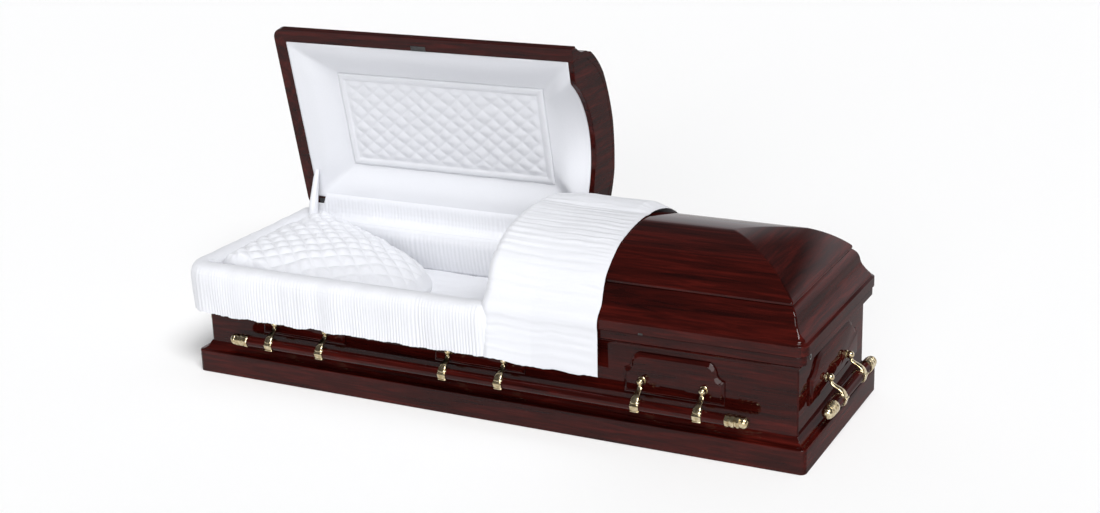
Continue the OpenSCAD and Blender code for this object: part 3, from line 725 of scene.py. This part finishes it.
# Skirt: rolls over the rim at the front and the head end, and hangs outside it in fine pleats.
skirt_r = 0.055
skirt_x, skirt_y = -(RIM_X + 0.002), -(RIM_Y + 0.002)
skirt_corner = arc(skirt_x + skirt_r, skirt_y + skirt_r, skirt_r, 270, 180, 10)
skirt_plan = strip_path([(0.080, skirt_y)] + skirt_corner + [(skirt_x, 0.325)], 0.0024)
# The skirt's section as (outward from the rim's face, height): over the rim, round the roll and down.
section = dense([(-0.050, 0.3535), (-0.051, 0.361), (-0.046, 0.370), (-0.036, 0.3765), (-0.022, 0.3805),
                 (-0.006, 0.3815), (0.008, 0.3790), (0.019, 0.3735), (0.0265, 0.365), (0.031, 0.354),
                 (0.033, 0.341), (0.0338, 0.325), (0.0336, 0.306), (0.0330, 0.285), (0.0324, 0.264),
                 (0.0318, 0.246), (0.0314, 0.230), (0.0312, 0.219)], 0.006)


def skirt_column(q, normal, s):
    """The skirt's section at one place of its plan, gathered, with an uneven hem."""
    g = pleats(s, 3)
    tuck = 1 - 0.55 * max(0.0, min(1.0, (0.055 - s) / 0.04))
    hem = 0.006 * wave(s * 16, 9, 0) + 0.003 * wave(s * 55, 9, 3)
    col = []
    for i, (out, z) in enumerate(section):
        t = i / (len(section) - 1)
        depth = 0.0020 + 0.0030 * max(0, t - 0.3)
        slow = 0.0045 * wave(s * 6, 0, z * 4) * (0.4 + t) + 0.003 * wave(s * 15, 5, z * 9)
        height = z + hem * max(0, (t - 0.6) / 0.4) + (0.002 * wave(s * 20, 4, 1) if 0.15 < t < 0.5 else 0)
        p = q - normal * ((out + depth * g + slow * (1 if t > 0.1 else 0)) * (tuck if out > 0 else 1))
        col.append((p.x, p.y, height))
    return col


skirt = np.asarray([skirt_column(*place) for place in skirt_plan])
# The roll ends and the drop begins where the section comes down outside the rim to just over its top.
bend = next(i for i, (out, z) in enumerate(section) if i > 8 and z < 0.357)
roll = cloth_sheet("skirt_roll", skirt[:, :bend + 1], 0.0016, "casket", ["skirt"])
cloth_sheet("skirt_drop", skirt[:, bend:], 0.0016, "casket", [])
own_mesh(roll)


def inside_walls(p, margin):
    """A point's x and y, held inside the body's walls by a margin."""
    x, y = IN_X - margin, IN_Y - margin
    return min(max(p.x, -x), x), min(max(p.y, -y), y)


# Lining of the body's walls, in upright pleats.
lining_x, lining_y = IN_X - 0.003, IN_Y - 0.003
lining_plan = strip_path([(lining_x, -lining_y), (lining_x, lining_y), (-lining_x, lining_y),
                          (-lining_x, -lining_y), (IN_X - 0.004, -lining_y)], 0.004)
lining_rows, lining_back = [], []
for q, normal, s in lining_plan:
    col, back = [], []
    for i in range(15):
        t = i / 14
        z = 0.3535 - t * (0.3535 - (BED_Z - 0.01))
        g = 0.5 + 0.5 * pleats(s + 0.012 * t, 11, 0.016, 0.09)
        puff = 0.004 + 0.006 * math.sin(math.pi * min(1, t * 1.1)) ** 0.6 if t < 0.92 else 0.004
        d = 0.0012 + (puff + 0.004 * g) * min(1, t * 5 + 0.1)
        col.append((*inside_walls(q + normal * (-d), 0.0015), z))
        back.append((*inside_walls(q + normal * 0.0022, 0.0006), z))
    lining_rows.append(col)
    lining_back.append(back)
sk = Skin().grid(lining_rows).grid([c[::-1] for c in lining_back])
for k in (0, -1):
    sk.grid([[c[k] for c in lining_rows], [c[k] for c in lining_back]]).grid([lining_rows[k], lining_back[k]])
body_lining = crepe_piece(sk, "body_wall_lining", "casket", ["body_lining"])

# Mattress: its cover is gathered and tufted a little.
bed_x, bed_y, bed_low = IN_X - 0.009, IN_Y - 0.009, 0.0565
rows = []
nx, ny = 220, 70
for i in range(nx + 1):
    x = -bed_x + 2 * bed_x * i / nx
    row = []
    for j in range(ny + 1):
        y = -bed_y + 2 * bed_y * j / ny
        crown = 0.010 * (1 - math.exp(-min(bed_x - abs(x), bed_y - abs(y)) / 0.03))
        broad, small = 0.003 * wave(x * 7, y * 22, 0), 0.0015 * wave(x * 30, y * 60, 3)
        row.append((x, y, BED_Z - 0.010 + crown + broad + small))
    rows.append(row)
bed_corners = [(-bed_x, -bed_y), (bed_x, -bed_y), (bed_x, bed_y), (-bed_x, bed_y)]
sk = closed_below(rows, bed_corners, bed_low)
mattress = crepe_piece(sk, "mattress_pad", "casket", ["mattress"], angle=60)

# Pillow: a full wedge quilted in diamonds. It fills the head end, and its foot edge is a wide curve.
PILLOW_HEAD, PILLOW_Y, PILLOW_LOW = -(IN_X - 0.012), IN_Y - 0.020, BED_Z + 0.001


def pillow_foot(y):
    return -0.385 - 0.235 * (abs(y) / PILLOW_Y) ** 2.3


def pillow_z(t, v):
    """Height at a share t of the way from head to foot, and v from the middle (0) to a side (1)."""
    middle = np.interp(t, [0, 0.03, 0.10, 0.2, 0.35, 0.5, 0.65, 0.78, 0.88, 0.95, 1.0],
                       [0.372, 0.393, 0.408, 0.413, 0.408, 0.394, 0.373, 0.348, 0.320, 0.290, 0.245])
    side = np.interp(t, [0, 0.05, 0.15, 0.37, 0.6, 0.77, 0.9, 1.0],
                     [0.366, 0.386, 0.396, 0.364, 0.322, 0.288, 0.258, 0.236])
    return middle + (side - middle) * abs(v) ** 2.2 - 0.03 * max(0, abs(v) - 0.93) / 0.07


def quilting(x, y, t, v, step=0.062):
    """Height of the quilted diamonds over the pillow's own shape. It fades towards the edges."""
    u, w = x / (step * 1.1), y / step
    k, k2 = 0.6 * wave(x * 8, y * 8, 2), 0.6 * wave(x * 8, y * 8, 12)
    q = abs(math.sin(math.pi * (u + w) + k)) * abs(math.sin(math.pi * (u - w) + k2))
    fade = min(1, 12 * min(t, 1 - t), 14 * (1 - abs(v)) + 0.25)
    return (0.0078 * q ** 0.9 - 0.0040) * fade + 0.006 * wave(x * 13, y * 13, 6)


rows = []
nx, ny = 230, 230
for i in range(nx + 1):
    t = i / nx
    row = []
    for j in range(ny + 1):
        v = 2 * j / ny - 1
        y = PILLOW_Y * v
        x = PILLOW_HEAD + (pillow_foot(y) - PILLOW_HEAD) * t
        row.append((x, y, pillow_z(t, v) + quilting(x, y, t, v)))
    rows.append(row)
foot_edge, head_edge, near, far = ([(x, y, PILLOW_LOW) for x, y, z in line] for line in (
    rows[-1], rows[0], [r[0] for r in rows], [r[-1] for r in rows]))
sk = Skin().grid(rows).grid([rows[0], head_edge]).grid([rows[-1], foot_edge])
sk.grid([[r[0] for r in rows], near]).grid([[r[-1] for r in rows], far])
sk.poly(near + foot_edge[1:-1] + far[::-1] + head_edge[::-1][1:-1])
pillow = crepe_piece(sk, "quilted_pillow", "casket", ["pillow"], angle=75)
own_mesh(pillow)

# Apron: hides the hinges between the body's back rim and the head lid.
apron_section = dense([(0.2915, 0.3485), (0.296, 0.3562), (0.308, 0.3585), (0.320, 0.3640), (0.3285, 0.375),
                       (0.3325, 0.392), (0.3335, 0.408), (0.3340, 0.424), (0.3360, 0.434),
                       (0.3385, 0.440)], 0.005)
rows = []
n = 460
for i in range(n + 1):
    x = -1.030 + (0.085 + 1.030) * i / n
    low_end = max(0.0, min(1.0, (-0.972 - x) / 0.012))
    col = []
    for j, (y, z) in enumerate(apron_section):
        t = j / (len(apron_section) - 1)
        z = z - max(0.0, z - 0.399) * low_end
        fold = 0.0030 * (0.5 + 0.5 * pleats(x + 0.01 * t, 31, 0.014, 0.08)) + 0.002 * wave(x * 7, 0, 5)
        col.append((x, y - fold * math.sin(math.pi * t) ** 0.7, z))
    rows.append(col)
apron = cloth_sheet("hinge_apron_cloth", np.asarray(rows)[:, ::-1], 0.0012, "casket", ["hinge_apron"])
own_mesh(apron)

# Sleeve over the support arm, thinner towards the lid.
path = [(-0.990, 0.262, 0.332), (-0.994, 0.276, 0.372), (-0.9965, 0.288, 0.415),
        (-0.9955, 0.299, 0.458), (-0.993, 0.309, 0.500), (-0.990, 0.318, 0.532)]
rows = []
for i, place in enumerate(path):
    d = (Vector(path[min(i + 1, len(path) - 1)]) - Vector(path[max(i - 1, 0)])).normalized()
    side = Vector((0, d.z, -d.y))
    w, h = 0.022 - 0.0028 * i, 0.0185 - 0.0021 * i
    row = []
    for a in circle(24):
        ruffle = h * math.sin(a) * (1 + 0.10 * math.sin(5 * a + i))
        row.append(tuple(Vector(place) + side * (w * math.cos(a)) + Vector((1, 0, 0)) * ruffle))
    rows.append(row)
sk = Skin().grid(rows, False, True).poly(rows[0]).poly(rows[-1])
sleeve = crepe_piece(sk, "support_arm_sleeve", "casket", ["stay_sleeve"], angle=60)
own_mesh(sleeve)

# Throw over the cut end of the foot lid: gathered lengthwise, it hangs down the front.
THROW_X0, THROW_X1, HEM_ROWS = 0.035, 0.4195, 14
# It spans the lid's undercut step.
cover = [(s, z) for s, z in outer if z < 0.119 or z > 0.129]
hanging = [(-(LID_Y + 0.0005), z) for z in (0.222, 0.25, 0.29, 0.33, 0.36)]
front_half = [(-(LID_Y - s), SEAM + z) for s, z in cover if z >= FASCIA - 1e-6]
back_half = [(LID_Y - s, SEAM + z) for s, z in reversed(cover[:-1]) if LID_Y - s < 0.276]
base_line = np.asarray(dense(hanging + front_half + back_half, 0.0036))


def smooth_line(points, passes):
    p = np.asarray(points, float)
    for _ in range(passes):
        q = p.copy()
        q[1:-1] = (p[:-2] + 2 * p[1:-1] + p[2:]) / 4
        p = q
    return p


soft_line = smooth_line(base_line, 30)
normal = np.gradient(soft_line, axis=0)
normal /= np.linalg.norm(normal, axis=1, keepdims=True)
normal = np.stack([-normal[:, 1], normal[:, 0]], axis=1)
# The soft line cuts the lid's corners, so it is lifted to stay outside it.
lift = np.maximum(0, ((base_line - soft_line) * normal).sum(axis=1))
lift = np.maximum.reduce([np.roll(lift, k) for k in range(-6, 7)])
lift = np.convolve(lift, np.ones(9) / 9, "same")
arc_len = np.concatenate([[0], np.cumsum(np.linalg.norm(np.diff(soft_line, axis=0), axis=1))])


def crease(x, s, seed):
    """Ruched folds that run along the casket: each fades in and out along its length."""
    bend = 0.010 * wave(x * 6, s * 6, seed) + 0.004 * wave(x * 17, s * 17, seed + 1)
    a = math.sin(2 * math.pi * (s + bend) / 0.026) * max(0.0, 0.45 + 0.9 * wave(x * 7, s * 14, seed + 2))
    b = math.sin(2 * math.pi * (s + 1.4 * bend) / 0.0145)
    return 0.62 * a + 0.38 * (b * max(0.0, 0.3 + 0.9 * wave(x * 9, s * 20, seed + 3)))


def throw_height(x, s, t, behind, right, rise):
    """Distance of the throw from its soft line, at x, a length s and a share t of the way over the lid."""
    edge = min(1.0, max(0.0, (0.20 - x) / 0.16))
    roll_in = max(0.0, (0.062 - x) / 0.027)
    puff = 0.0045 + 0.009 * edge + rise - 0.012 * roll_in ** 2
    swell = math.exp(-(min(0.0, x - 0.2) / 0.15) ** 2) * (0.35 + 0.65 * min(1.0, (right - x) / 0.05))
    puff += 0.026 * math.sin(math.pi * min(1.0, behind) ** 0.8) * swell
    damp = 0.3 + 0.7 * min(1.0, (right - x) / 0.03)
    strength = 0.45 + 0.55 * min(1.0, max(0.0, (t - 0.2) / 0.12))
    folds = (0.0023 * crease(x, s, 21) + 0.0016 * wave(x * 9, s * 50, 8)) * damp * strength
    h = max(puff + folds, 0.0012 if x > CUT else -1)
    if t < 0.17:
        h += 0.013 * (0.17 - t) / 0.17 * (0.45 + 0.55 * edge)
    return h, edge


rows = []
for c in np.linspace(0, 1, 110):
    col = []
    for k, (y, z) in enumerate(soft_line):
        s = arc_len[k]
        t = s / arc_len[-1]
        behind = max(0.0, (t - 0.72) / 0.28)
        right = THROW_X1 + 0.030 * behind ** 1.5
        x = THROW_X0 + (right - THROW_X0) * c
        h, edge = throw_height(x, s, t, behind, right, lift[k])
        height = z + normal[k, 1] * h
        if k < HEM_ROWS:
            hem = 0.007 * wave(x * 16, 2, 0) + 0.003 * wave(x * 60, 3, 0) + 0.014 * edge - 0.016
            height += hem * (1 - k / HEM_ROWS)
        col.append((x, y + normal[k, 0] * h, height))
    rows.append(col)
throw = np.asarray(rows)
throw_x = throw[:, 0, 0]
# The column just past the lid's cut parts the cloth on the lid from its overhang.
at_cut = int(np.argmin(abs(throw_x - 0.094)))
cloth_sheet("throw_cloth", throw[at_cut:], 0.0014, "foot_lid", ["throw"])
overhang = cloth_sheet("throw_overhang", throw[:at_cut + 1], 0.0014, "foot_lid", [])
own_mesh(overhang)


# ---- Camera, light, floor ----

def place_camera(place, yaw, pitch, roll, lens):
    """A camera at a place: yaw in plan from +Y, pitch up and roll in degrees, and its lens in mm."""
    cam = bpy.data.cameras.new("camera")
    o = bpy.data.objects.new("camera", cam)
    bpy.context.scene.collection.objects.link(o)
    yaw, pitch, roll = map(math.radians, (yaw, pitch, roll))
    d = Vector((math.sin(yaw) * math.cos(pitch), math.cos(yaw) * math.cos(pitch), math.sin(pitch)))
    right = Vector((math.cos(yaw), -math.sin(yaw), 0))
    up = right.cross(d)
    across = right * math.cos(roll) + up * math.sin(roll)
    upward = -right * math.sin(roll) + up * math.cos(roll)
    m = Matrix((across, upward, -d)).transposed().to_4x4()
    m.translation = Vector(place)
    o.matrix_world = m
    cam.sensor_width = 36
    cam.lens = lens
    cam.clip_start, cam.clip_end = 0.1, 100
    cam.dof.use_dof = False
    bpy.context.scene.camera = o


place_camera((2.461, -4.6453, 2.1555), -27.01, -18.29, -1.81, 56.71309)


def sun(name, toward, strength, angle):
    """A soft, even studio light from far off: toward is the direction from the casket to the light."""
    light = bpy.data.lights.new(name, "SUN")
    light.energy, light.angle = strength, math.radians(angle)
    o = bpy.data.objects.new(name, light)
    o.rotation_euler = Vector(toward).to_track_quat("Z", "Y").to_euler()
    bpy.context.scene.collection.objects.link(o)


sun("key_light", (0.42, -0.42, 0.80), 3.15, 30)
sun("front_fill", (0.26, -0.95, 0.12), 1.9, 40)

# Surroundings: a pale wall low behind the casket, and a dim room overhead and in front.
DIM_ROOM, PALE_WALL = 0.12, 1.2
world = bpy.data.worlds.new("studio")
world.use_nodes = True
bpy.context.scene.world = world
wt = world.node_tree
wc = node(wt, "ShaderNodeTexCoord")
ws = node(wt, "ShaderNodeSeparateXYZ")
wt.links.new(wc.outputs["Generated"], ws.inputs[0])
behind = node(wt, "ShaderNodeMapRange", interpolation_type="SMOOTHSTEP")
set_range(behind, -0.1, 0.75, 0, 1)
wt.links.new(ws.outputs["Y"], behind.inputs["Value"])
lowness = node(wt, "ShaderNodeMapRange", interpolation_type="SMOOTHSTEP")
set_range(lowness, 0.43, 0.31, 0, 1)
wt.links.new(ws.outputs["Z"], lowness.inputs["Value"])
both = node(wt, "ShaderNodeMath", operation="MULTIPLY")
wt.links.new(behind.outputs["Result"], both.inputs[0])
wt.links.new(lowness.outputs["Result"], both.inputs[1])
level = node(wt, "ShaderNodeMapRange")
set_range(level, 0, 1, DIM_ROOM, PALE_WALL)
wt.links.new(both.outputs[0], level.inputs["Value"])
wt.nodes["Background"].inputs["Color"].default_value = (0.97, 0.97, 1.0, 1)
wt.links.new(level.outputs["Result"], wt.nodes["Background"].inputs["Strength"])

PALE, PALER, FLOOR_HALF, FLOOR_Z = (0.935, 0.935, 0.935), (0.95, 0.95, 0.95), 30, -0.0005
fm, ft, fp = new_material("studio_floor")
fn = node(ft, "ShaderNodeTexNoise", Scale=1.5)
ft.links.new(ramp(ft, fn.outputs["Fac"], [(0.3, PALE), (0.7, PALER)]), fp.inputs["Base Color"])
fp.inputs["Roughness"].default_value = 0.9
floor_mesh = bpy.data.meshes.new("floor")
floor_corners = [(x * FLOOR_HALF, y * FLOOR_HALF, FLOOR_Z) for x, y in ((-1, -1), (1, -1), (1, 1), (-1, 1))]
floor_mesh.from_pydata(floor_corners, [], [(0, 1, 2, 3)])
floor_mesh.materials.append(fm)
floor = bpy.data.objects.new("floor", floor_mesh)
bpy.context.scene.collection.objects.link(floor)

bpy.context.scene.view_settings.view_transform = "Standard"
